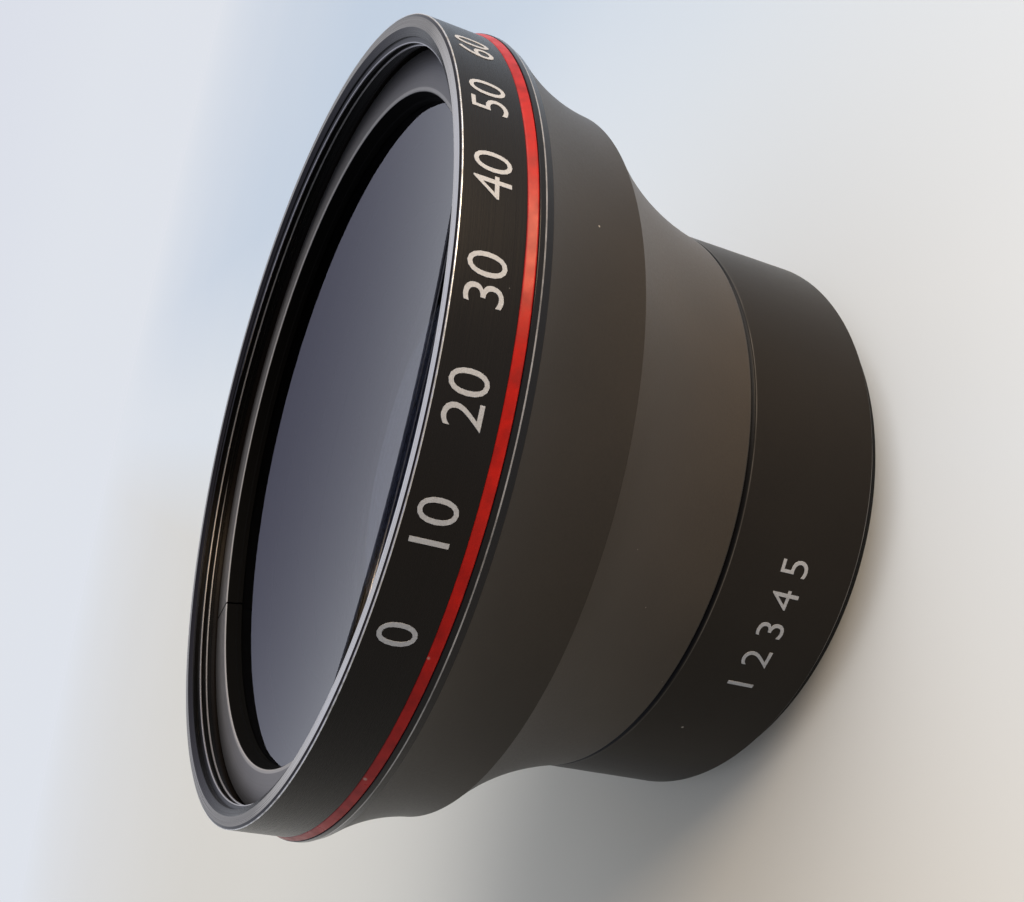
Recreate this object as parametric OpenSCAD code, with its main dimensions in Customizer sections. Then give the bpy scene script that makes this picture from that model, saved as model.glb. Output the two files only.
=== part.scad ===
// Screw-on wide-angle converter lens with a detachable close-up unit.
// It stands on its rear thread. Z is the optical axis, with the front glass at the top,
// and every piece is a body of revolution about it, apart from slots and one split ring.

/* [Front ring] */
// Nominal diameter of the front filter thread
filter_thread_d = 77; // [66:0.5:94]
// Wall between the filter thread and the plain band
band_wall = 1.92; // [1.6:0.01:3]
// Height of the plain band
band_h = 5.42; // [5.2:0.01:8]
// Height of the outer bevel at the front rim
rim_bevel_h = 0.13; // [0.05:0.01:0.6]
// Width of the outer bevel at the front rim
rim_bevel_w = 0.3; // [0.1:0.01:0.7]
// Height of the lead-in bevel of the filter thread
lead_in_h = 0.4; // [0.2:0.01:0.6]
// Width of that bevel
lead_in_w = 0.7; // [0.4:0.01:0.8]
// Depth from the rim to the end of the filter thread
filter_depth = 2.66; // [2:0.01:2.9]

/* [Red trim ring] */
// Height of the trim ring
trim_h = 0.86; // [0.5:0.01:1.6]
// How far the trim ring flares from its front edge to its rear edge
trim_flare = 0.28; // [0.05:0.01:0.5]

/* [Wide-angle barrel] */
// Height of the polished collar under the trim ring
collar_h = 1.3; // [1:0.01:2.5]
// Height of the collar's bevel
collar_bevel_h = 0.78; // [0.3:0.01:0.9]
// Radial width of the collar's bevel
collar_bevel_w = 0.28; // [0.1:0.01:0.5]
// Height of the upper hollow curve, the flare
flare_h = 10.15; // [9:0.01:13]
// How far the flare draws in
flare_drop = 3.36; // [2.5:0.01:5]
// Radius of the flare's curve
flare_radius = 21.7; // [18:0.1:40]
// Height of the lower hollow curve, the neck
neck_h = 15.85; // [13:0.01:20]
// Radius of the neck's curve
neck_radius = 35; // [30:0.5:60]
// How far the neck's edge stands out past the close-up unit
neck_overhang = 0.07; // [0:0.01:0.4]
// Wall left between the crease and the front glass
crease_wall = 1.6; // [1.2:0.05:3]

/* [Close-up unit] */
// Outer diameter of the close-up unit
macro_d = 59.8; // [58:0.1:72]
// Height of its outer wall
macro_h = 13.9; // [12.5:0.05:17]
// Bevel on its rear edge
rear_bevel = 0.45; // [0.1:0.01:0.8]
// How far the low step behind that edge is set in
step_in = 1.15; // [0.9:0.05:1.3]
// Height of that step
step_h = 1.2; // [0.8:0.05:2]
// Nominal diameter of the rear thread, which screws into a camera lens
rear_thread_d = 52; // [46:0.5:54]
// Length of the rear thread
rear_thread_len = 2.4; // [2.2:0.05:4]
// Bevel on its front edge, which makes the dark line of the joint
joint_bevel = 0.38; // [0.1:0.01:0.6]

/* [Joint between the units] */
// Wall of the close-up unit outside the joint's pilot land
joint_wall = 2.1; // [1.6:0.05:3]
// Length of the plain pilot land that centres the two units
pilot_len = 1.0; // [0.6:0.05:1.4]
// Length of the joint's male thread
joint_thread_len = 3.9; // [3:0.05:4.6]

/* [Glass] */
// Depth from the rim to the visible edge of the front glass
glass_depth = 5.35; // [5.1:0.01:6.5]
// Depth of the hollow in the front of the front glass
front_dish = 4.5; // [1:0.05:5.5]
// Thickness of the front glass at its centre
front_thick = 3.0; // [2:0.05:4]
// Depth of the hollow in the back of the front glass
back_dish = 3.4; // [1:0.05:4.4]
// Width of the flat seat round that hollow
back_seat_w = 8.4; // [6:0.1:12]
// Thickness of the inner glass at its centre
inner_thick = 2.6; // [2:0.05:4]
// How far the inner glass bulges towards the front
inner_rise = 2.0; // [0.5:0.05:3]
// Depth of the dish in the back of the inner glass
inner_dish = 4.2; // [2:0.05:5]
// Thickness of the close-up glass at its centre
macro_thick = 7.2; // [6.5:0.05:9]
// How far the close-up glass bulges towards the front
macro_rise = 4.4; // [2:0.05:4.8]
// How far it bulges towards the rear
macro_back_rise = 1.1; // [0.5:0.05:1.6]

/* [Retaining rings] */
// Height of the fine bevel round the split ring's hole
lip_h = 0.15; // [0.1:0.01:0.6]
// Width of that bevel
lip_w = 0.15; // [0.1:0.01:1]
// Width of the split
split_w = 0.25; // [0.15:0.01:0.6]
// Angle of the split about the optical axis
split_angle = 130; // [0:1:359]
// Height of the two slotted rings
slot_ring_h = 1.9; // [1.5:0.05:2.5]
// Width of their two slots
slot_w = 1.4; // [0.8:0.05:2.5]

/* [Hidden] */
$fn = 180;

// Metric fine thread, 0.75 mm pitch: a male thread is a cylinder of its root diameter here,
// and a female thread is a bore of its own root diameter.
pitch = 0.75;
thread_depth = 0.6134 * pitch;
thread_play = 0.05;
pilot_play = 0.05;
glass_play = 0.1;
seat_play = 0.03;
joint_end_gap = 0.3;
undercut = 0.25;
relief = 0.45;
over = 1;

// Heights from the end of the rear thread upwards
z_step = rear_thread_len;
z_shoulder = z_step + step_h;
z_joint = z_shoulder + macro_h;
z_crease = z_joint + neck_h;
z_collar = z_crease + flare_h;
z_trim = z_collar + collar_h;
z_band = z_trim + trim_h;
z_rim = z_band + band_h;
z_thread_end = z_rim - filter_depth;
z_shelf = z_thread_end - 0.67;
z_neck_top = z_shelf - 0.49;

// Front end, from the filter thread outwards and inwards
filter_r = filter_thread_d / 2;
band_r = filter_r + band_wall;
trim_top_r = band_r + 0.02;
trim_r = trim_top_r + trim_flare;
collar_r = trim_r + 0.03;
flare_r = collar_r - collar_bevel_w;
crease_r = flare_r - flare_drop;
mount_bore_r = filter_r - 0.5;
mount_neck_r = mount_bore_r - thread_depth;
ring_bore_r = mount_neck_r - 0.94;
glass_bore_r = crease_r - crease_wall;
glass_r = glass_bore_r - glass_play;
hole_r = glass_r - 1.3;

// Close-up unit and joint, from its outside inwards
macro_r = macro_d / 2;
step_r = macro_r - step_in;
rear_root_r = rear_thread_d / 2 - thread_depth;
rear_bore_r = rear_root_r - 1.54;
neck_r = macro_r + neck_overhang;
pilot_bore_r = macro_r - joint_wall;
pilot_r = pilot_bore_r - pilot_play;
joint_bore_r = pilot_bore_r - 0.25;
joint_root_r = joint_bore_r - thread_play - thread_depth;
slot_bore_r = macro_r - 3.2;
small_glass_bore_r = slot_bore_r - 0.6;
small_glass_r = small_glass_bore_r - glass_play;
small_hole_r = small_glass_r - 1.7;

// Front glass: hollow on both sides, it seats on a flat shoulder of the barrel
z_glass_edge = z_rim - glass_depth;
z_front_vertex = z_glass_edge - front_dish;
front_curve = dome_radius(hole_r, front_dish);
back_dish_r = glass_r - back_seat_w;
z_back_vertex = z_front_vertex - front_thick;
z_front_seat = z_back_vertex - back_dish;
back_curve = dome_radius(back_dish_r, back_dish);

// Inner glass: seats on a shoulder just above the joint
z_inner_seat = z_joint + 4;
inner_dish_r = small_hole_r - 2;
z_inner_vertex = z_inner_seat + inner_dish + inner_thick;
inner_curve = dome_radius(small_hole_r, inner_rise);
inner_dish_curve = dome_radius(inner_dish_r, inner_dish);
z_inner_ring = z_inner_vertex - inner_rise + seat_play;
z_inner_ring_top = z_inner_ring + slot_ring_h;

// Close-up glass: seats on the unit's floor, held by a ring just below the joint
z_spigot_end = z_joint - pilot_len - joint_thread_len - undercut;
z_joint_floor = z_spigot_end - joint_end_gap;
z_macro_ring = z_joint_floor - 0.22 - slot_ring_h;
z_macro_vertex = z_macro_ring - seat_play + macro_rise;
macro_curve = dome_radius(small_hole_r, macro_rise);
macro_back_curve = dome_radius(small_hole_r, macro_back_rise);
z_macro_back = z_macro_vertex - macro_thick;
z_macro_seat = z_macro_back + macro_back_rise;

// Light traps: small saw-tooth steps in the bore behind the front glass
trap_pitch = 1.1;
trap_depth = 0.55;

// Radius of a sphere that rises by s over a half-width a
function dome_radius(a, s) = (a * a + s * s) / (2 * s);

// Centre of the arc of radius r through p and q, on the side away from the axis
function arc_centre(p, q, r) =
  let (chord = q - p, len = norm(chord), out = [chord.y, -chord.x] / len)
  (p + q) / 2 + out * sqrt(r * r - len * len / 4);

// The part of a profile inside a circle on the axis, curving towards the front
module dome(z_vertex, r) {
  translate([0, z_vertex - r]) circle(r = r);
}

// A closed ring from a flat profile of radius and height
module turned() {
  rotate_extrude() children();
}

module front_ring() {
  color("#202022") turned() polygon([
    [mount_bore_r, z_band],
    [mount_bore_r, z_neck_top],
    [filter_r + relief, z_neck_top],
    [filter_r + relief, z_thread_end - 0.12],
    [filter_r, z_thread_end],
    [filter_r, z_rim - lead_in_h],
    [filter_r + lead_in_w, z_rim],
    [band_r - rim_bevel_w, z_rim],
    [band_r, z_rim - rim_bevel_h],
    [band_r, z_band]
  ]);
}

module red_trim_ring() {
  color("#c02a22") turned() polygon([
    [mount_bore_r + 0.04, z_trim],
    [trim_r, z_trim],
    [trim_top_r, z_band],
    [mount_bore_r + 0.04, z_band]
  ]);
}

// Outside of the wide-angle barrel: spigot, two hollow curves, collar and threaded neck
module barrel_outline() {
  neck_start = [neck_r, z_joint];
  crease = [crease_r, z_crease];
  flare_end = [flare_r, z_collar];
  difference() {
    polygon([
      [0, z_spigot_end],
      [joint_root_r - 0.3, z_spigot_end],
      [joint_root_r, z_spigot_end + 0.3],
      [joint_root_r, z_joint - pilot_len - undercut],
      [joint_root_r - undercut, z_joint - pilot_len - undercut],
      [joint_root_r - undercut, z_joint - pilot_len],
      [pilot_r, z_joint - pilot_len],
      [pilot_r, z_joint],
      neck_start,
      [flare_r, z_joint],
      flare_end,
      [collar_r, z_collar + collar_bevel_h],
      [collar_r, z_trim],
      [mount_neck_r, z_trim],
      [mount_neck_r, z_neck_top - 0.2],
      [mount_neck_r - 0.2, z_neck_top],
      [0, z_neck_top]
    ]);
    translate(arc_centre(neck_start, crease, neck_radius)) circle(r = neck_radius);
    translate(arc_centre(crease, flare_end, flare_radius)) circle(r = flare_radius);
  }
}

// Inside of the wide-angle barrel, from the spigot's mouth up to the split ring's seat
module barrel_bore() {
  cone_bottom = z_inner_ring_top + 1.2;
  steps = floor((z_front_seat - 0.6 - cone_bottom) / trap_pitch);
  widen = (back_dish_r + 1.5 - slot_bore_r) / max(steps, 1);
  polygon([
    [0, z_spigot_end - over],
    [small_hole_r + 0.2, z_spigot_end - over],
    [small_hole_r + 0.2, z_spigot_end],
    [inner_dish_r + 0.6, z_inner_seat - 1.2],
    [inner_dish_r + 0.6, z_inner_seat],
    [small_glass_bore_r, z_inner_seat],
    [small_glass_bore_r, z_inner_ring - 0.1],
    [slot_bore_r, z_inner_ring - 0.1],
    [slot_bore_r, cone_bottom],
    for (i = [0 : steps - 1]) each [
      [slot_bore_r + widen * i + trap_depth, cone_bottom + trap_pitch * i],
      [slot_bore_r + widen * (i + 1), cone_bottom + trap_pitch * (i + 1)]
    ],
    [back_dish_r + 1.5, z_front_seat],
    [glass_bore_r, z_front_seat],
    [glass_bore_r, z_glass_edge - 0.3],
    [ring_bore_r, z_glass_edge - 0.3],
    [ring_bore_r, z_neck_top + over],
    [0, z_neck_top + over]
  ]);
}

module wide_barrel() {
  color("#4a4744") turned() difference() {
    barrel_outline();
    barrel_bore();
  }
}

// The split ring: its shelf snaps into the groove under the filter thread,
// and its skirt holds the front glass down
module front_retaining_ring() {
  shelf_r = filter_r + 0.1;
  wall_r = hole_r + 0.2;
  color("#3a3a3d") difference() {
    turned() polygon([
      [hole_r, z_glass_edge + seat_play],
      [ring_bore_r - 0.05, z_glass_edge + seat_play],
      [ring_bore_r - 0.05, z_neck_top],
      [shelf_r, z_neck_top],
      [shelf_r, z_shelf - 0.1],
      [shelf_r - 0.1, z_shelf],
      [wall_r + 0.15 + lip_w, z_shelf],
      [wall_r + 0.15, z_shelf - lip_h],
      [wall_r, z_glass_edge + 0.7],
      [hole_r, z_glass_edge + 0.6]
    ]);
    rotate([0, 0, split_angle])
      translate([hole_r - over, -split_w / 2, z_glass_edge - over])
        cube([filter_r - hole_r + 2 * over, split_w, glass_depth]);
  }
}

module front_element() {
  color("#b8c4dc", 0.4) turned() difference() {
    polygon([
      [0, z_front_seat],
      [glass_r - 0.4, z_front_seat],
      [glass_r, z_front_seat + 0.4],
      [glass_r, z_glass_edge - 0.2],
      [glass_r - 0.2, z_glass_edge],
      [0, z_glass_edge]
    ]);
    translate([0, z_front_vertex + front_curve]) circle(r = front_curve);
    dome(z_back_vertex, back_curve);
  }
}

module inner_element() {
  color("#b8c4dc", 0.4) turned() difference() {
    intersection() {
      translate([0, z_inner_seat])
        square([small_glass_r, z_inner_vertex - z_inner_seat]);
      dome(z_inner_vertex, inner_curve);
    }
    dome(z_inner_vertex - inner_thick, inner_dish_curve);
  }
}

// A threaded ring that holds one of the small glasses from the front, with a bevelled
// upper inner edge and two opposite slots for a spanner in its top
module slotted_ring(z) {
  edge = 0.8;
  color("#262628") difference() {
    turned() polygon([
      [small_hole_r, z],
      [slot_bore_r - thread_play, z],
      [slot_bore_r - thread_play, z + slot_ring_h],
      [small_hole_r + edge, z + slot_ring_h],
      [small_hole_r, z + slot_ring_h - edge]
    ]);
    for (side = [0, 180])
      rotate([0, 0, side])
        translate([small_hole_r + 1, -slot_w / 2, z + slot_ring_h - 0.9])
          cube([slot_bore_r - small_hole_r, slot_w, 0.9 + over]);
  }
}

module inner_retaining_ring() {
  slotted_ring(z_inner_ring);
}

// Outside of the close-up unit, with the root cylinder of its rear thread
module macro_outline() {
  polygon([
    [0, 0],
    [rear_root_r - 0.3, 0],
    [rear_root_r, 0.3],
    [rear_root_r, z_step - 0.4],
    [rear_root_r - relief, z_step - 0.4],
    [rear_root_r - relief, z_step],
    [step_r - 0.15, z_step],
    [step_r, z_step + 0.15],
    [step_r, z_shoulder],
    [macro_r - rear_bevel, z_shoulder],
    [macro_r, z_shoulder + rear_bevel],
    [macro_r, z_joint - joint_bevel],
    [macro_r - joint_bevel, z_joint],
    [0, z_joint]
  ]);
}

module macro_bore() {
  polygon([
    [0, -over],
    [rear_bore_r + 0.4, -over],
    [rear_bore_r + 0.4, 0],
    [rear_bore_r, 0.4],
    [rear_bore_r, z_macro_seat - 1.2],
    [small_hole_r, z_macro_seat - 0.4],
    [small_hole_r, z_macro_seat],
    [small_glass_bore_r, z_macro_seat],
    [small_glass_bore_r, z_macro_ring - 0.1],
    [slot_bore_r, z_macro_ring - 0.1],
    [slot_bore_r, z_joint_floor],
    [joint_bore_r, z_joint_floor],
    [joint_bore_r, z_joint - pilot_len - 0.2],
    [pilot_bore_r, z_joint - pilot_len - 0.2],
    [pilot_bore_r, z_joint - 0.2],
    [pilot_bore_r + 0.2, z_joint],
    [pilot_bore_r + 0.2, z_joint + over],
    [0, z_joint + over]
  ]);
}

module macro_barrel() {
  color("#443f3b") turned() difference() {
    macro_outline();
    macro_bore();
  }
}

module macro_element() {
  color("#b8c4dc", 0.4) turned() intersection() {
    translate([0, z_macro_back]) square([small_glass_r, macro_thick]);
    dome(z_macro_vertex, macro_curve);
    translate([0, z_macro_back + macro_back_curve]) circle(r = macro_back_curve);
  }
}

module macro_retaining_ring() {
  slotted_ring(z_macro_ring);
}

macro_barrel();
macro_element();
macro_retaining_ring();
wide_barrel();
inner_element();
inner_retaining_ring();
front_element();
front_retaining_ring();
red_trim_ring();
front_ring();
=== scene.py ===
import math

import bmesh
import bpy
import numpy as np
from mathutils import Matrix, Vector


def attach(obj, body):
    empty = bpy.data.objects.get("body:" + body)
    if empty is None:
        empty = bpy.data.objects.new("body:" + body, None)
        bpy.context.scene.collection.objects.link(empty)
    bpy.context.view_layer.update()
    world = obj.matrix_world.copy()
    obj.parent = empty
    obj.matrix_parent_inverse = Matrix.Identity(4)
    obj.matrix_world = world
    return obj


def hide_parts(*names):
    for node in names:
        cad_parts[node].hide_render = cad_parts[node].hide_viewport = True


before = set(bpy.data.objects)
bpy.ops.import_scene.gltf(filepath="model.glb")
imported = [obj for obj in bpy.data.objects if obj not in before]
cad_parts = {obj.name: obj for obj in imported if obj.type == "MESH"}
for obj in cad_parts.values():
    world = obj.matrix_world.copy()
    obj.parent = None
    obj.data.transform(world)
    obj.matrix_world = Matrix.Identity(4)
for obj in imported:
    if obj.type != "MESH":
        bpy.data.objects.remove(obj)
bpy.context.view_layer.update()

mm = 0.001  # profiles are written in millimetres, the scene is in metres


class Value:
    # one output socket, so that node maths reads as Python
    def __init__(self, tree, socket):
        self.tree, self.socket = tree, socket

    def math(self, operation, *others):
        return addNode(self.tree, "ShaderNodeMath", {"operation": operation}, [self, *others])

    def __add__(self, other): return self.math("ADD", other)
    def __radd__(self, other): return self.math("ADD", other)
    def __sub__(self, other): return self.math("SUBTRACT", other)
    def __rsub__(self, other): return addNode(self.tree, "ShaderNodeMath", {"operation": "SUBTRACT"}, [other, self])
    def __mul__(self, other): return self.math("MULTIPLY", other)
    def __rmul__(self, other): return self.math("MULTIPLY", other)
    def __truediv__(self, other): return self.math("DIVIDE", other)
    def __rtruediv__(self, other): return addNode(self.tree, "ShaderNodeMath", {"operation": "DIVIDE"}, [other, self])
    def __pow__(self, other): return self.math("POWER", other)


def addNode(tree, kind, settings=None, values=(), out=0):
    # settings first, then the values or links of its sockets, by place or by name
    node = tree.nodes.new(kind)
    for key, value in (settings or {}).items():
        if key == "stops":
            ramp = node.color_ramp
            while len(ramp.elements) < len(value):
                ramp.elements.new(0.5)
            for element, (place, colour) in zip(ramp.elements, value):
                element.position = place
                element.color = colour if len(colour) == 4 else (*colour, 1)
        else:
            setattr(node, key, value)
    pairs = values.items() if isinstance(values, dict) else enumerate(values)
    for key, value in pairs:
        if value is None:
            continue
        if isinstance(value, Value):
            tree.links.new(value.socket, node.inputs[key])
        else:
            node.inputs[key].default_value = value
    if out is None:
        return node
    return Value(tree, node.outputs[out])


def mixColour(tree, factor, first, second, mode="MIX"):
    def full(colour):
        return colour if isinstance(colour, Value) or len(colour) == 4 else (*colour, 1)
    settings = {"data_type": "RGBA", "blend_type": mode}
    return addNode(tree, "ShaderNodeMix", settings, {0: factor, 6: full(first), 7: full(second)}, out=2)


def band(value, low, high, soft):
    # 1 between low and high, falling to 0 over soft on each side
    rise = addNode(value.tree, "ShaderNodeMapRange", {"interpolation_type": "SMOOTHSTEP"},
                   [value, low - soft, low, 0.0, 1.0])
    fall = addNode(value.tree, "ShaderNodeMapRange", {"interpolation_type": "SMOOTHSTEP"},
                   [value, high, high + soft, 1.0, 0.0])
    return rise * fall


def ramp(value, low, high, first=0.0, second=1.0):
    return addNode(value.tree, "ShaderNodeMapRange", {"clamp": True}, [value, low, high, first, second])


class Finish:
    # a material with its Principled shader and the coordinates that its patterns use
    def __init__(self, name):
        self.material = bpy.data.materials.new(name)
        self.material.use_nodes = True
        self.tree = self.material.node_tree
        self.shader = self.tree.nodes["Principled BSDF"]
        self.point = self.make("ShaderNodeTexCoord", out="Object")
        split = self.make("ShaderNodeSeparateXYZ", values=[self.point], out=None)
        self.x, self.y, self.z = (Value(self.tree, s) for s in split.outputs)
        self.radius = (self.x * self.x + self.y * self.y) ** 0.5
        self.angle = self.y.math("ARCTAN2", self.x)

    def make(self, kind, settings=None, values=(), out=0):
        return addNode(self.tree, kind, settings, values, out)

    def noise(self, size, detail=2.0, rough=0.5, at=None):
        # size is in metres, the width of one blotch
        return self.make("ShaderNodeTexNoise", values={
            "Vector": at or self.point, "Scale": 1.0 / size, "Detail": detail, "Roughness": rough})

    def rings(self, along, around=4000.0, detail=2.0):
        # turning marks: fine across the lathe's feed, long round the axis
        at = self.make("ShaderNodeCombineXYZ", values=[
            self.radius * along, self.z * along, self.angle * (1 / 2000.0 * around)])
        return self.make("ShaderNodeTexNoise", values={"Vector": at, "Scale": 1.0, "Detail": detail})

    def specks(self, spacing, size):
        # sparse round specks: 1 inside a speck
        node = self.make("ShaderNodeTexVoronoi", {"feature": "F1"},
                         {"Vector": self.point, "Scale": 1.0 / spacing}, out=None)
        near = Value(self.tree, node.outputs["Distance"])
        pick = self.make("ShaderNodeSeparateColor", values=[Value(self.tree, node.outputs["Color"])], out=0)
        reach = ramp(pick, 0.55, 1.0, 0.0, size / spacing)
        return ramp(reach - near, 0.0, 0.25 * size / spacing)

    def bump(self, height, depth, strength=1.0, under=None):
        return self.make("ShaderNodeBump", values={
            "Strength": strength, "Distance": depth, "Height": height, "Normal": under})

    def set(self, **sockets):
        names = {"colour": "Base Color", "roughness": "Roughness", "metallic": "Metallic",
                 "normal": "Normal", "ior": "IOR", "transmission": "Transmission Weight",
                 "coat": "Coat Weight", "coatRoughness": "Coat Roughness",
                 "tint": "Specular Tint", "specular": "Specular IOR Level"}
        for key, value in sockets.items():
            socket = self.shader.inputs[names[key]]
            if isinstance(value, Value):
                self.tree.links.new(value.socket, socket)
            elif isinstance(value, tuple) and len(value) == 3:
                socket.default_value = (*value, 1)
            else:
                socket.default_value = value
        return self.material


cameraPlace = {
    "location": (-7.29, -109.69, 75.86),
    "right": (0.2206, -0.3011, -0.9277),
    "up": (0.9754, 0.0681, 0.2098),
    "lens": 38.33,
    "shift": (0.13851, 0.06205),
}


def addCamera(c):
    data = bpy.data.cameras.new("camera")
    data.sensor_fit = "HORIZONTAL"
    data.sensor_width = 36.0
    data.lens = c["lens"]
    data.shift_x, data.shift_y = c["shift"]
    data.clip_start, data.clip_end = 0.002, 50.0
    camera = bpy.data.objects.new("camera", data)
    bpy.context.scene.collection.objects.link(camera)
    right = Vector(c["right"]).normalized()
    up = Vector(c["up"])
    up = (up - right * up.dot(right)).normalized()
    back = right.cross(up)
    turn = Matrix((right, up, back)).transposed().to_4x4()
    camera.matrix_world = Matrix.Translation(Vector(c["location"]) * mm) @ turn
    bpy.context.scene.camera = camera


addCamera(cameraPlace)
print("camera placed")


lighting = {
    "horizon": (0.74, 0.77, 0.83),
    "zenith": (0.47, 0.475, 0.70),
    "roomLight": (0.74, 0.73, 0.72),
    "frontShade": 0.35,
    "sunColour": (1.0, 0.92, 0.83),
    "sunStrength": 2.9,
    "sunAngle": 58.0,
    "sunFrom": (0.81, -0.19, 0.56),
    "floorPlain": (0.59, 0.675, 0.785),
    "floorLitSideTint": (0.41, 0.53, 0.70),
    "floorShadeSideTint": (0.56, 0.57, 0.56),
    "panelPlace": (0.23, -0.193, 0.07),
    "panelColour": (1.0, 0.70, 0.41),
    "panelPower": 1.1,
    "floorSize": 3.0,
    "fade": (0.22, 0.9),
}


def addLight(c):
    world = bpy.data.worlds.new("studio")
    bpy.context.scene.world = world
    world.use_nodes = True
    tree = world.node_tree
    tree.nodes.clear()
    look = addNode(tree, "ShaderNodeTexCoord", out="Generated")
    split = addNode(tree, "ShaderNodeSeparateXYZ", values=[look], out=None)
    depth, height = Value(tree, split.outputs[1]), Value(tree, split.outputs[2])
    seen = mixColour(tree, ramp(height, 0.0, 0.9), c["horizon"], c["zenith"])
    # the backdrop is what is seen or mirrored, and the room's own light is a little warmer
    path = addNode(tree, "ShaderNodeLightPath", out=None)
    straight, mirrored, refracted = (Value(tree, path.outputs[k]) for k in
                                     ("Is Camera Ray", "Is Glossy Ray", "Is Transmission Ray"))
    backdrop = straight.math("MAXIMUM", mirrored).math("MAXIMUM", refracted)
    colour = mixColour(tree, backdrop, c["roomLight"], seen)
    # the room is darker on the camera's side
    sky = addNode(tree, "ShaderNodeBackground", values=[colour, ramp(depth, -0.8, 0.1, c["frontShade"], 1.0)])
    addNode(tree, "ShaderNodeOutputWorld", values=[sky], out=None)

    sun = bpy.data.lights.new("softSun", "SUN")
    sun.energy = c["sunStrength"]
    sun.color = c["sunColour"]
    sun.angle = math.radians(c["sunAngle"])
    lamp = bpy.data.objects.new("softSun", sun)
    bpy.context.scene.collection.objects.link(lamp)
    lamp.rotation_mode = "QUATERNION"
    lamp.rotation_quaternion = Vector(c["sunFrom"]).to_track_quat("Z", "Y")

    # a warm panel low at the side gives the barrels their sheen
    panel = bpy.data.lights.new("warmPanel", "AREA")
    panel.energy = c["panelPower"]
    panel.color = c["panelColour"]
    panel.size = 0.12
    lamp = bpy.data.objects.new("warmPanel", panel)
    bpy.context.scene.collection.objects.link(lamp)
    lamp.visible_camera = False
    lamp.location = c["panelPlace"]
    lamp.rotation_mode = "QUATERNION"
    lamp.rotation_quaternion = (Vector(c["panelPlace"]) - Vector((0, 0, 0.03))).to_track_quat("Z", "Y")

    # the floor's colour is painted a little cooler on the lit side and warmer on the shadow's side: painted light and
    # shade
    f = Finish("paleFloor")
    shade = mixColour(f.tree, ramp(f.x, 0.025, 0.10), c["floorPlain"], c["floorLitSideTint"])
    shade = mixColour(f.tree, ramp(f.x, 0.01, -0.035), shade, c["floorShadeSideTint"])
    shade = mixColour(f.tree, f.noise(0.15, 3.0) * 0.3, shade, (0.70, 0.73, 0.78))
    f.set(colour=shade, roughness=0.9, specular=0.2)
    # far out the floor takes the backdrop's colour, so that no edge shows
    far = f.make("ShaderNodeEmission", values=[(*c["horizon"], 1), 1.0])
    near = Value(f.tree, f.shader.outputs[0])
    blend = f.make("ShaderNodeMixShader", values=[ramp(f.radius, *c["fade"]), near, far])
    f.tree.links.new(blend.socket, f.tree.nodes["Material Output"].inputs[0])
    mesh = bpy.data.meshes.new("floor")
    form = bmesh.new()
    bmesh.ops.create_circle(form, cap_ends=True, segments=96, radius=c["floorSize"])
    form.to_mesh(mesh)
    form.free()
    mesh.materials.append(f.material)
    floor = bpy.data.objects.new("floor", mesh)
    bpy.context.scene.collection.objects.link(floor)


addLight(lighting)
print("light and floor placed")


def spot(f, r, angle, z, size):
    # 1 inside a small round mark at a place on the surface, given in mm and degrees
    turn = math.radians(angle)
    place = (r * mm * math.cos(turn), r * mm * math.sin(turn), z * mm)
    gap = f.make("ShaderNodeVectorMath", {"operation": "DISTANCE"}, [f.point, place], out=1)
    return 1 - ramp(gap, size * 0.35 * mm, size * 0.6 * mm)


def anodised(name, colour, rough, grain, shine, marks=()):
    # bead-blasted metal, black anodised
    f = Finish(name)
    fine = f.noise(grain * mm, 3.0, 0.6)
    cloud = f.noise(9 * mm, 3.0)
    shade = mixColour(f.tree, ramp(cloud, 0.35, 0.65), colour, tuple(v * 0.86 for v in colour))
    shade = mixColour(f.tree, ramp(fine, 0.3, 0.75, 0.0, 0.35), shade, tuple(v * 1.5 for v in colour))
    shade = mixColour(f.tree, f.specks(3.2 * mm, 0.07 * mm) * 0.4, shade, (0.30, 0.28, 0.26))
    for mark in marks:
        shade = mixColour(f.tree, spot(f, *mark) * 0.6, shade, (0.40, 0.38, 0.35))
    height = fine * 0.8 + f.noise(grain * 3 * mm, 2.0) * 0.5
    f.set(roughness=ramp(fine, 0.2, 0.8, rough - 0.04, rough + 0.05),
          normal=f.bump(height, 0.012 * mm, 0.5), ior=1.5, specular=shine)
    return f, shade


def satin(name, colour, rough, lines=9000.0, shine=0.5):
    # turned and fine satin anodised: hairlines round the axis
    f = Finish(name)
    hair = f.rings(lines)
    cloud = f.noise(6 * mm, 3.0)
    shade = mixColour(f.tree, ramp(hair, 0.3, 0.7, 0.0, 0.6), colour, tuple(v * 1.25 for v in colour))
    shade = mixColour(f.tree, ramp(cloud, 0.3, 0.7, 0.0, 0.4), shade, tuple(v * 0.8 for v in colour))
    shade = mixColour(f.tree, f.specks(2.6 * mm, 0.06 * mm) * 0.35, shade, (0.30, 0.29, 0.28))
    f.set(roughness=ramp(hair, 0.25, 0.75, rough - 0.03, rough + 0.06),
          normal=f.bump(hair, 0.003 * mm, 0.25), ior=1.5, specular=shine)
    return f, shade


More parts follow.
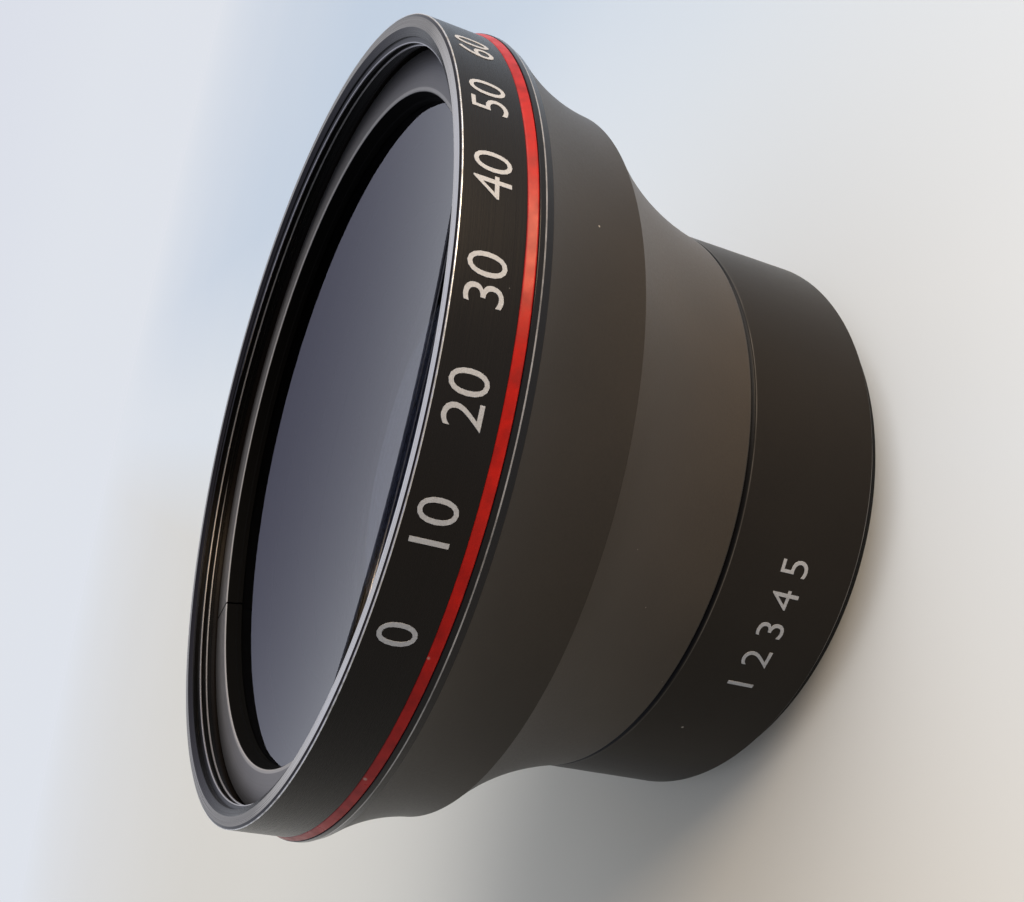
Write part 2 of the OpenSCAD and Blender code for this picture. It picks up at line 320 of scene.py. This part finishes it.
def wideBarrelFinish():
    marks = [(39.6, -66.0, 41.4, 0.20), (38.0, -61.0, 38.0, 0.20), (34.0, -99.0, 28.5, 0.24)]
    f, shade = anodised("anodisedWideBarrel", (0.0165, 0.0138, 0.011), 0.37, 0.22, 0.145, marks)
    rough = Value(f.tree, f.shader.inputs["Roughness"].links[0].from_socket)
    # the neck is painted a little brighter than the flare above it: a painted sheen
    neck = band(f.z, 17.5 * mm, 33.3 * mm, 0.1 * mm)
    paintedSheen = mixColour(f.tree, 1.0, shade, (1.7, 1.66, 1.62), "MULTIPLY")
    shade = mixColour(f.tree, neck, shade, paintedSheen)
    # gloss collar with a rubbed ridge
    collar = ramp(f.z, 43.50 * mm, 43.56 * mm)
    wear = f.noise(0.9 * mm, 4.0, 0.7) * 0.35 + f.noise(9 * mm, 2.0) * 0.65
    bare = band(f.z, 44.22 * mm, 44.31 * mm, 0.04 * mm) * ramp(wear, 0.36, 0.56, 0.12, 0.5)
    # painted shade: the foot at the joint is painted near black, standing in for the shade in the joint
    foot = 1 - ramp(f.z, 17.6 * mm, 17.66 * mm)
    shade = mixColour(f.tree, foot, shade, (0.002, 0.002, 0.002))
    shade = mixColour(f.tree, collar, shade, (0.004, 0.004, 0.005))
    shade = mixColour(f.tree, bare, shade, (0.55, 0.55, 0.58))
    f.set(colour=shade, roughness=rough * (1 - collar) + collar * 0.2, metallic=bare)
    return f.material


def closeUpBarrelFinish():
    f, shade = anodised("anodisedCloseUpBarrel", (0.0085, 0.007, 0.0055), 0.36, 0.16, 0.105,
                        [(29.9, -133.0, 12.4, 0.24)])
    # the groove at the joint and the step under the rear edge are painted dark, painted shade; the edges are rubbed
    groove = ramp(f.z, 17.0 * mm, 17.06 * mm)
    step = 1 - ramp(f.z, 3.62 * mm, 3.68 * mm)
    shade = mixColour(f.tree, groove, shade, (0.002, 0.002, 0.002))
    shade = mixColour(f.tree, step, shade, (0.004, 0.004, 0.004))
    wear = ramp(f.noise(5 * mm, 3.0), 0.35, 0.6, 0.15, 0.5)
    rubbed = (band(f.z, 3.66 * mm, 4.0 * mm, 0.05 * mm) + band(f.z, 16.9 * mm, 16.96 * mm, 0.04 * mm) * 0.3) * wear
    shade = mixColour(f.tree, rubbed, shade, (0.32, 0.31, 0.30))
    f.set(colour=shade, metallic=rubbed * 0.8)
    return f.material


def frontRingFinish():
    f, shade = satin("satinFrontRing", (0.0040, 0.0032, 0.0028), 0.26, shine=0.12)
    # the rim's face is turned bright, and its two edges are rubbed
    lines = f.rings(16000.0, detail=4.0)
    face = ramp(f.z, 51.03 * mm, 51.05 * mm) * band(f.radius, 39.22 * mm, 40.10 * mm, 0.03 * mm)
    edge = band(f.z, 50.90 * mm, 50.985 * mm, 0.02 * mm) * ramp(f.radius, 40.33 * mm, 40.37 * mm)
    bore = band(f.z, 48.3 * mm, 50.66 * mm, 0.03 * mm) * (1 - ramp(f.radius, 38.9 * mm, 39.0 * mm))
    shade = mixColour(f.tree, bore, shade, (0.0015, 0.0015, 0.0015))
    # the face is painted brightest on the near side, towards the camera: a painted reflection
    nearSideReflection = ramp(f.y, -20 * mm, -33 * mm, 0.22, 1.0)
    bright = face * ramp(lines, 0.3, 0.7, 0.55, 1.0) * nearSideReflection + edge * ramp(f.noise(0.8 * mm, 3.0), 0.3, 0.6, 0.35, 0.9)
    shade = mixColour(f.tree, bright, shade, (0.70, 0.70, 0.69))
    f.set(colour=shade, metallic=bright)
    return f.material


def threadFinish():
    f, shade = satin("threadCrests", (0.003, 0.003, 0.003), 0.3, shine=0.2)
    # the crests are painted light and partly metallic: a painted highlight standing in for their reflection of the
    # sky
    crest = 1 - ramp(f.radius, 38.10 * mm, 38.17 * mm)
    shade = mixColour(f.tree, crest * 0.85, shade, (0.50, 0.50, 0.52))
    return f.set(colour=shade, metallic=crest * 0.8)


def splitRingFinish():
    f, shade = satin("turnedSplitRing", (0.088, 0.088, 0.092), 0.38, 14000.0)
    # the shelf is painted darker towards the thread, painted shade, and its lip is painted light, a painted highlight
    lipHighlight = band(f.radius, 34.56 * mm, 34.86 * mm, 0.06 * mm)
    threadSideShade = ramp(f.radius, 36.2 * mm, 38.2 * mm)
    shade = mixColour(f.tree, threadSideShade, shade, (0.030, 0.030, 0.032))
    shade = mixColour(f.tree, lipHighlight * 0.6, shade, (0.30, 0.30, 0.31))
    return f.set(colour=shade)


def redFinish():
    f = Finish("redEnamel")
    flow = f.noise(1.6 * mm, 3.0, 0.55)
    deep = f.noise(12 * mm, 2.0)
    shade = mixColour(f.tree, ramp(flow, 0.3, 0.7), (0.28, 0.008, 0.005), (0.16, 0.004, 0.003))
    shade = mixColour(f.tree, ramp(deep, 0.45, 0.8, 0.0, 0.5), shade, (0.34, 0.016, 0.010))
    for mark in ((40.6, -114.0, 45.6, 0.35), (40.6, -133.0, 45.5, 0.4)):
        shade = mixColour(f.tree, spot(f, *mark) * 0.7, shade, (0.30, 0.22, 0.20))
    return f.set(colour=shade, roughness=ramp(flow, 0.3, 0.7, 0.26, 0.42),
                 normal=f.bump(flow, 0.03 * mm, 0.6), ior=1.5, specular=0.14)


def blackFinish(name, light, rough, shine):
    f = Finish(name)
    fine = f.noise(0.3 * mm, 3.0)
    return f.set(colour=mixColour(f.tree, fine, (light, light, light), (light * 1.6, light * 1.6, light * 1.6)),
                 roughness=ramp(fine, 0.2, 0.8, rough, rough + 0.1), normal=f.bump(fine, 0.01 * mm, 0.4),
                 specular=shine)


def glassFinish(name, body, tint, shine, ior=1.52):
    f = Finish(name)
    haze = f.noise(14 * mm, 3.0)
    shade = mixColour(f.tree, ramp(haze, 0.4, 0.7), body, tuple(v * 0.96 for v in body))
    return f.set(colour=shade, roughness=0.0, ior=ior, transmission=1.0, tint=tint, specular=shine)


def printFinish():
    f = Finish("paleInk")
    grain = f.noise(0.12 * mm, 3.0, 0.7)
    return f.set(colour=mixColour(f.tree, ramp(grain, 0.3, 0.7), (0.29, 0.31, 0.345), (0.205, 0.22, 0.25)),
                 roughness=ramp(grain, 0.3, 0.7, 0.45, 0.6), normal=f.bump(grain, 0.006 * mm, 0.5))


finishes = {
    "frontRing": frontRingFinish(),
    "thread": threadFinish(),
    "splitRing": splitRingFinish(),
    "redTrim": redFinish(),
    "wideBarrel": wideBarrelFinish(),
    "closeUpBarrel": closeUpBarrelFinish(),
    "blackRing": blackFinish("matBlackRing", 0.008, 0.5, 0.4),
    "blackInside": blackFinish("matBlackInside", 0.0015, 0.8, 0.03),
    "edgePaint": blackFinish("blackEdgePaint", 0.002, 0.7, 0.05),
    "frontGlass": glassFinish("coatedFrontGlass", (0.42, 0.44, 0.52), (0.85, 0.84, 1.0), 1.0, 1.6),
    "glassBack": glassFinish("coatedGlassBack", (0.70, 0.73, 0.80), (0.8, 0.9, 1.0), 0.06),
    "innerGlass": glassFinish("coatedInnerGlass", (0.92, 0.94, 0.97), (0.9, 0.82, 0.86), 0.08),
    "print": printFinish(),
}
print("finishes made")


def arc(first, last, radius, count, hollow=True):
    # points between two ends on a circle, in the r-z plane; hollow puts its centre outside
    (r0, z0), (r1, z1) = first, last
    length = math.hypot(r1 - r0, z1 - z0)
    side = 1 if hollow else -1
    out = ((z1 - z0) / length * side, -(r1 - r0) / length * side)
    rise = math.sqrt(radius ** 2 - length ** 2 / 4)
    centre = ((r0 + r1) / 2 + out[0] * rise, (z0 + z1) / 2 + out[1] * rise)
    start = math.atan2(z0 - centre[1], r0 - centre[0])
    end = math.atan2(z1 - centre[1], r1 - centre[0])
    sweep = (end - start + math.pi) % (2 * math.pi) - math.pi
    return [(centre[0] + radius * math.cos(start + sweep * k / count),
             centre[1] + radius * math.sin(start + sweep * k / count)) for k in range(1, count)]


def rounded(corners, steps=3):
    # a closed profile from (r, z, fillet) corners, with a spare loop beside each fillet
    points = []
    count = len(corners)
    for k, corner in enumerate(corners):
        here = np.array(corner[:2], float)
        fillet = corner[2] if len(corner) > 2 else 0.0
        if not fillet:
            points.append(tuple(here))
            continue
        before = np.array(corners[k - 1][:2], float) - here
        after = np.array(corners[(k + 1) % count][:2], float) - here
        lb, la = np.linalg.norm(before), np.linalg.norm(after)
        before, after = before / lb, after / la
        half = math.acos(max(-1.0, min(1.0, float(before @ after)))) / 2
        cut = min(fillet / math.tan(half), 0.42 * lb, 0.42 * la)
        radius = cut * math.tan(half)
        middle = before + after
        centre = here + middle / np.linalg.norm(middle) * (radius / math.sin(half))
        a, b = here + before * cut, here + after * cut
        if lb > cut * 5:
            points.append(tuple(here + before * cut * 1.8))
        start = math.atan2(a[1] - centre[1], a[0] - centre[0])
        end = math.atan2(b[1] - centre[1], b[0] - centre[0])
        sweep = (end - start + math.pi) % (2 * math.pi) - math.pi
        for i in range(steps + 1):
            turn = start + sweep * i / steps
            points.append((centre[0] + radius * math.cos(turn), centre[1] + radius * math.sin(turn)))
        if la > cut * 5:
            points.append(tuple(here + after * cut * 1.8))
    return points


def turningTree():
    # turns a profile about Z; with a lead it winds the profile into a thread that tapers at its ends
    tree = bpy.data.node_groups.new("turning", "GeometryNodeTree")
    tree.interface.new_socket("Profile", in_out="INPUT", socket_type="NodeSocketGeometry")
    for name, kind in (("Steps", "Int"), ("Turns", "Float"), ("Lead", "Float"), ("Taper", "Float"),
                       ("Base radius", "Float"), ("Start height", "Float"), ("Finish", "Material")):
        tree.interface.new_socket(name, in_out="INPUT", socket_type="NodeSocket" + kind)
    tree.interface.new_socket("Mesh", in_out="OUTPUT", socket_type="NodeSocketGeometry")
    source = tree.nodes.new("NodeGroupInput")
    given = {s.name: Value(tree, s) for s in source.outputs if s.name}
    size = addNode(tree, "GeometryNodeAttributeDomainSize", {"component": "MESH"}, [given["Profile"]])
    across = size + 1
    grid = addNode(tree, "GeometryNodeMeshGrid", values=[1.0, 1.0, given["Steps"] + 1, across])
    index = addNode(tree, "GeometryNodeInputIndex")
    column = (index / across).math("FLOOR")
    row = index - column * across
    row = row.math("MODULO", size)
    done = given["Turns"] * (column / given["Steps"])
    toEnd = done.math("MINIMUM", given["Turns"] - done)
    grown = ((toEnd + 1e-7) / (given["Taper"] + 1e-9)).math("MINIMUM", 1.0)
    place = addNode(tree, "GeometryNodeInputPosition")
    picked = addNode(tree, "GeometryNodeSampleIndex", {"data_type": "FLOAT_VECTOR", "domain": "POINT"},
                     {"Geometry": given["Profile"], "Value": place, "Index": row})
    parts = addNode(tree, "ShaderNodeSeparateXYZ", values=[picked], out=None)
    out, up = Value(tree, parts.outputs[0]), Value(tree, parts.outputs[2])
    radius = given["Base radius"] + (out - given["Base radius"]) * grown
    height = up * grown + given["Lead"] * done + given["Start height"]
    turn = done * (2 * math.pi)
    spot = addNode(tree, "ShaderNodeCombineXYZ", values=[
        radius * turn.math("COSINE"), radius * turn.math("SINE"), height])
    moved = addNode(tree, "GeometryNodeSetPosition", values={"Geometry": grid, "Position": spot})
    welded = addNode(tree, "GeometryNodeMergeByDistance", values={"Geometry": moved, "Distance": 2e-6})
    real = addNode(tree, "GeometryNodeRealizeInstances", values=[welded])
    painted = addNode(tree, "GeometryNodeSetMaterial", values={"Geometry": real, "Material": given["Finish"]})
    addNode(tree, "NodeGroupOutput", values=[painted], out=None)
    return tree


turning = turningTree()


def setInputs(modifier, **values):
    for item in modifier.node_group.interface.items_tree:
        if item.item_type == "SOCKET" and item.in_out == "INPUT" and item.name in values:
            modifier[item.identifier] = values[item.name]


def plainMesh(name, holder):
    # the evaluated result as a plain mesh object at the origin
    graph = bpy.context.evaluated_depsgraph_get()
    mesh = bpy.data.meshes.new_from_object(holder.evaluated_get(graph))
    mesh.name = name
    old = holder.data
    holder.modifiers.clear()
    bpy.data.objects.remove(holder)
    if isinstance(old, bpy.types.Mesh):
        bpy.data.meshes.remove(old)
    piece = bpy.data.objects.new(name, mesh)
    bpy.context.scene.collection.objects.link(piece)
    return piece


def tidyMesh(mesh, sharp=30.0):
    form = bmesh.new()
    form.from_mesh(mesh)
    bmesh.ops.remove_doubles(form, verts=form.verts, dist=1e-6)
    bmesh.ops.dissolve_degenerate(form, edges=form.edges, dist=1e-7)
    bmesh.ops.recalc_face_normals(form, faces=form.faces)
    form.to_mesh(mesh)
    form.free()
    mesh.shade_smooth()
    mesh.set_sharp_from_angle(angle=math.radians(sharp))


def paint(piece, finish, test):
    # gives the faces that pass test(radius, z), in mm, one more finish
    piece.data.materials.append(finishes[finish])
    last = len(piece.data.materials) - 1
    for face in piece.data.polygons:
        c = face.center
        if test(math.hypot(c.x, c.y) / mm, c.z / mm):
            face.material_index = last


def turned(name, points, finish, body, slotName, cadNodes=(), steps=360, **extra):
    # points are (r, z) in mm, in order round the closed profile
    mesh = bpy.data.meshes.new(name + "Profile")
    mesh.from_pydata([(r * mm, 0, z * mm) for r, z in points], [], [])
    holder = bpy.data.objects.new(name + "Profile", mesh)
    bpy.context.scene.collection.objects.link(holder)
    modifier = holder.modifiers.new("turning", "NODES")
    modifier.node_group = turning
    inputs = {"Steps": steps, "Turns": 1.0, "Lead": 0.0, "Taper": 0.0,
              "Base radius": 0.0, "Start height": 0.0, "Finish": finishes[finish]}
    inputs.update({key: value for key, value in extra.items()})
    setInputs(modifier, **inputs)
    piece = plainMesh(name, holder)
    tidyMesh(piece.data)
    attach(piece, body)
    if cadNodes:
        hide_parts(*cadNodes)
    return piece


wideBarrel = {
    "edge": 0.05,
    "neckRadius": 35.0,
    "flareRadius": 21.7,
    "joint": (29.97, 17.5),
    "crease": (37.11, 33.35),
    "flareTop": (40.47, 43.5),
    "collar": (40.75, 44.28),
    "collarTop": 44.8,
    "neckTop": 47.26,
    "trapFrom": 29.43,
    "trapPitch": 1.1,
    "trapDepth": 0.55,
    "trapCount": 4,
}


def makeWideBarrel(c):
    e = c["edge"]
    traps = []
    widen = (28.51 - 26.7) / c["trapCount"]
    for k in range(c["trapCount"]):
        traps.append((26.7 + widen * k + c["trapDepth"], c["trapFrom"] + c["trapPitch"] * k))
        traps.append((26.7 + widen * (k + 1), c["trapFrom"] + c["trapPitch"] * (k + 1)))
    corners = [
        (24.5, 12.35, e), (26.74, 12.35), (27.04, 12.65), (27.04, 16.25), (26.79, 16.25),
        (26.79, 16.5), (27.75, 16.5, e), (27.75, 17.5), (*c["joint"], 0.12),
        *arc(c["joint"], c["crease"], c["neckRadius"], 48),
        c["crease"],
        *arc(c["crease"], c["flareTop"], c["flareRadius"], 40),
        (*c["flareTop"], 0.06), (*c["collar"], 0.06), (c["collar"][0], c["collarTop"], 0.05),
        (37.54, c["collarTop"]), (37.54, c["neckTop"] - 0.2), (37.34, c["neckTop"]),
        (36.6, c["neckTop"]), (36.6, 45.43), (35.51, 45.43), (35.51, 34.83), (28.51, 34.83),
        *reversed(traps),
        (26.7, c["trapFrom"]), (26.7, 26.23), (26.1, 26.23), (26.1, 21.5), (22.9, 21.5), (22.9, 20.3),
    ]
    barrel = turned("wideBarrel", rounded(corners), "wideBarrel", "wide_unit", "wide_barrel", ["wide_barrel"])
    paint(barrel, "blackInside", lambda r, z: r < (25.6 if z < 17.6 else 28.9) or (z > 34.5 and r < 36.7))


makeWideBarrel(wideBarrel)
print("wide-angle barrel turned")


closeUpBarrel = {"radius": 29.9, "step": 28.75, "threadRoot": 25.54, "edge": 0.08, "rearBevel": 0.45,
                 "jointBevel": 0.38}


def makeCloseUpBarrel(c):
    r, step, root, e = c["radius"], c["step"], c["threadRoot"], c["edge"]
    corners = [
        (24.4, 0.0, e), (root - 0.3, 0.0), (root, 0.3), (root, 2.0), (root - 0.45, 2.0), (root - 0.45, 2.4),
        (step - 0.15, 2.4), (step, 2.55), (step, 3.6),
        (r - c["rearBevel"], 3.6, e), (r, 3.6 + c["rearBevel"], e * 2),
        (r, 17.5 - c["jointBevel"], e), (r - c["jointBevel"], 17.5, e),
        (28.0, 17.5), (27.8, 17.3), (27.8, 16.3), (27.55, 16.3), (27.55, 12.05), (26.7, 12.05),
        (26.7, 9.83), (26.1, 9.83), (26.1, 8.2), (24.3, 8.2), (24.3, 7.8), (24.0, 7.0), (24.0, 0.4),
    ]
    barrel = turned("closeUpBarrel", rounded(corners), "closeUpBarrel", "macro_unit", "macro_barrel",
                    ["macro_barrel"])
    paint(barrel, "blackInside", lambda r, z: r < 27.9 and z > 0.6 and (r < 24.6 or z > 8.0))


makeCloseUpBarrel(closeUpBarrel)
print("close-up barrel turned")


frontRing = {"outside": 40.42, "foot": 45.66, "rim": 51.08, "threadEnd": 48.42, "edge": 0.06}


def makeFrontRing(c):
    r, e, rim = c["outside"], c["edge"], c["rim"]
    corners = [
        (38.0, c["foot"]), (38.0, 47.26), (38.95, 47.26), (38.95, c["threadEnd"] - 0.12),
        (38.5, c["threadEnd"], e), (38.5, rim - 0.4, e), (39.2, rim, e),
        (r - 0.3, rim, 0.04), (r, rim - 0.13, 0.04), (r, c["foot"], e),
    ]
    return turned("frontRing", rounded(corners, 4), "frontRing", "wide_unit", "front_ring", ["front_ring"])


makeFrontRing(frontRing)
turned("redRing", rounded([(38.04, 44.8), (40.72, 44.8, 0.12), (40.44, 45.66, 0.12), (38.04, 45.66)], 5),
       "redTrim", "wide_unit", "red_trim", ["red_trim_ring"])


splitRing = {"splitAngle": 130.0, "splitWidth": 0.25, "shelf": 47.75, "glass": 45.76}


def makeSplitRing(c):
    shelf, glass = c["shelf"], c["glass"]
    corners = [
        (34.11, glass, 0.04), (36.55, glass), (36.55, 47.26), (38.6, 47.26), (38.6, shelf - 0.1, 0.05),
        (38.5, shelf, 0.05), (34.61, shelf, 0.1), (34.46, shelf - 0.15, 0.1), (34.31, glass + 0.67, 0.05),
        (34.11, glass + 0.57, 0.04),
    ]
    points = rounded(corners)
    gap = math.degrees(c["splitWidth"] / 36.0)
    # an open ring: its two ends face each other across the split
    steps = 360
    around = [math.radians(c["splitAngle"] + gap / 2 + (360 - gap) * k / steps) for k in range(steps + 1)]
    count = len(points)
    verts = [(r * mm * math.cos(a), r * mm * math.sin(a), z * mm) for a in around for r, z in points]
    faces = [(k * count + i, k * count + (i + 1) % count, (k + 1) * count + (i + 1) % count, (k + 1) * count + i)
             for k in range(steps) for i in range(count)]
    faces += [tuple(reversed(range(count))), tuple(range(steps * count, (steps + 1) * count))]
    mesh = bpy.data.meshes.new("splitRing")
    mesh.from_pydata(verts, [], faces)
    mesh.materials.append(finishes["splitRing"])
    tidyMesh(mesh)
    piece = bpy.data.objects.new("splitRing", mesh)
    bpy.context.scene.collection.objects.link(piece)
    paint(piece, "blackInside", lambda r, z: r < 34.52 or z < 47.2)
    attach(piece, "wide_unit")
    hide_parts("front_retaining_ring")
    return piece


makeSplitRing(splitRing)
print("front rings turned")


def ridge(name, crest, root, start, turns, finish, body, slotName, inward=True, width=0.5, flat=0.16):
    # one start of a 0.75 mm metric thread: the wall side is sunk 0.1 mm into the wall
    sunk = root + 0.1 if inward else root - 0.1
    points = [(sunk, -width / 2), (root, -width / 2), (crest, -flat / 2), (crest, flat / 2),
              (root, width / 2), (sunk, width / 2)]
    return turned(name, points, finish, body, slotName, steps=int(240 * turns),
                  **{"Turns": turns, "Lead": 0.75 * mm, "Taper": 0.35,
                     "Base radius": sunk * mm, "Start height": start * mm})


ridge("filterThread", 38.06, 38.5, 48.75, 2.5, "thread", "wide_unit", "front_ring", width=0.50, flat=0.10)
ridge("rearThread", 26.0, 25.54, 0.45, 1.95, "closeUpBarrel", "macro_unit", "macro_barrel", inward=False, width=0.6)
ridge("jointThread", 27.48, 27.04, 12.9, 4.2, "wideBarrel", "wide_unit", "wide_barrel", inward=False, width=0.42)
ridge("jointNutThread", 27.14, 27.55, 12.55, 4.6, "closeUpBarrel", "macro_unit", "macro_barrel", width=0.30, flat=0.1)
print("threads wound")


def lensFace(r, zEdge, zMiddle, count):
    # a spherical face from its edge to the axis, as (r, z) points
    rise = zMiddle - zEdge
    size = (r * r + rise * rise) / (2 * abs(rise))
    sign = 1 if rise > 0 else -1
    steps = [r * (1 - k / count) for k in range(count + 1)]
    return [(x, zMiddle - sign * (size - math.sqrt(size * size - x * x))) for x in steps]


def makeLens(name, finish, body, cadNode, upper, lower, edge, painted):
    # upper and lower are (radius, z at it, z on the axis), edge the points between them on the outside
    points = list(reversed(lensFace(*upper, 64))) + edge + lensFace(*lower, 64)
    lens = turned(name, points, finish, body, "coated_glass", [cadNode], steps=256)
    paint(lens, "edgePaint", painted)
    if name == "frontGlass":
        paint(lens, "glassBack", lambda r, z: r < 27.02 and z < 38.5)


makeLens("frontGlass", "frontGlass", "wide_glass", "front_element", (34.11, 45.73, 41.23), (27.01, 34.83, 38.23),
         [(35.21, 45.73), (35.41, 45.53), (35.41, 35.23), (35.01, 34.83)],
         lambda r, z: r > 35.0 or (r > 27.02 and z < 35.2))
makeLens("innerGlass", "innerGlass", "wide_glass", "inner_element", (24.3, 26.3, 28.3), (22.3, 21.5, 25.7),
         [(26.0, 26.01), (26.0, 21.5)], lambda r, z: r > 24.4 or (r > 22.3 and z < 21.6))
makeLens("closeUpGlass", "innerGlass", "macro_unit", "macro_element", (24.3, 9.9, 14.3), (24.3, 8.2, 7.1),
         [(25.99, 9.25), (25.99, 8.36)], lambda r, z: r > 24.4)
for nodeName in ("inner_retaining_ring", "macro_retaining_ring"):
    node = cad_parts[nodeName]
    node.data.materials.clear()
    node.data.materials.append(finishes["blackRing"])
print("glass and inner rings finished")


bandMarks = {
    "radius": 40.42, "foot": 46.95, "size": 3.3, "thick": 0.03, "from": -112.0, "to": -38.0,
    "numbers": ["0", "10", "20", "30", "40", "50", "60"],
}
barrelMarks = {
    "radius": 29.9, "foot": 8.9, "size": 3.0, "thick": 0.03, "from": -120.0, "to": -97.0,
    "numbers": ["1", "2", "3", "4", "5"],
}


def inkMesh(body, size, thick):
    # one number as a thin solid, its corner at the origin, in mm
    curve = bpy.data.curves.new("number", "FONT")
    curve.body = body
    curve.size = size * 1.37
    curve.offset = -0.008 * size
    curve.extrude = thick
    curve.resolution_u = 4
    holder = bpy.data.objects.new("number", curve)
    bpy.context.scene.collection.objects.link(holder)
    graph = bpy.context.evaluated_depsgraph_get()
    mesh = bpy.data.meshes.new_from_object(holder.evaluated_get(graph))
    bpy.data.objects.remove(holder)
    bpy.data.curves.remove(curve)
    return mesh


def wrapMarks(name, c, body):
    form = bmesh.new()
    numbers = c["numbers"]
    for k, number in enumerate(numbers):
        middle = c["from"] + (c["to"] - c["from"]) * k / (len(numbers) - 1)
        mesh = inkMesh(number, c["size"], c["thick"])
        co = np.array([v.co for v in mesh.vertices])
        wide = (co[:, 0].min() + co[:, 0].max()) / 2
        low = co[:, 1].min()
        shift = math.radians(middle) * c["radius"]
        mesh.transform(Matrix.Translation((shift - wide, c["foot"] - low, 0)))
        form.from_mesh(mesh)
        bpy.data.meshes.remove(mesh)
    xs = [v.co.x for v in form.verts]
    cut = min(xs)
    while cut < max(xs):
        geometry = form.verts[:] + form.edges[:] + form.faces[:]
        bmesh.ops.bisect_plane(form, geom=geometry, plane_co=(cut, 0, 0), plane_no=(1, 0, 0))
        cut += 0.6
    for v in form.verts:
        turn = v.co.x / c["radius"]
        r = c["radius"] + v.co.z + c["thick"] * 0.4
        v.co = Vector((r * math.cos(turn), r * math.sin(turn), v.co.y)) * mm
    bmesh.ops.remove_doubles(form, verts=form.verts, dist=1e-6)
    bmesh.ops.recalc_face_normals(form, faces=form.faces)
    mesh = bpy.data.meshes.new(name)
    form.to_mesh(mesh)
    form.free()
    mesh.materials.append(finishes["print"])
    piece = bpy.data.objects.new(name, mesh)
    bpy.context.scene.collection.objects.link(piece)
    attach(piece, body)
    return piece


wrapMarks("bandNumbers", bandMarks, "wide_unit")
wrapMarks("barrelNumbers", barrelMarks, "macro_unit")
print("numbers printed")


scene = bpy.context.scene
scene.view_settings.view_transform = "Standard"
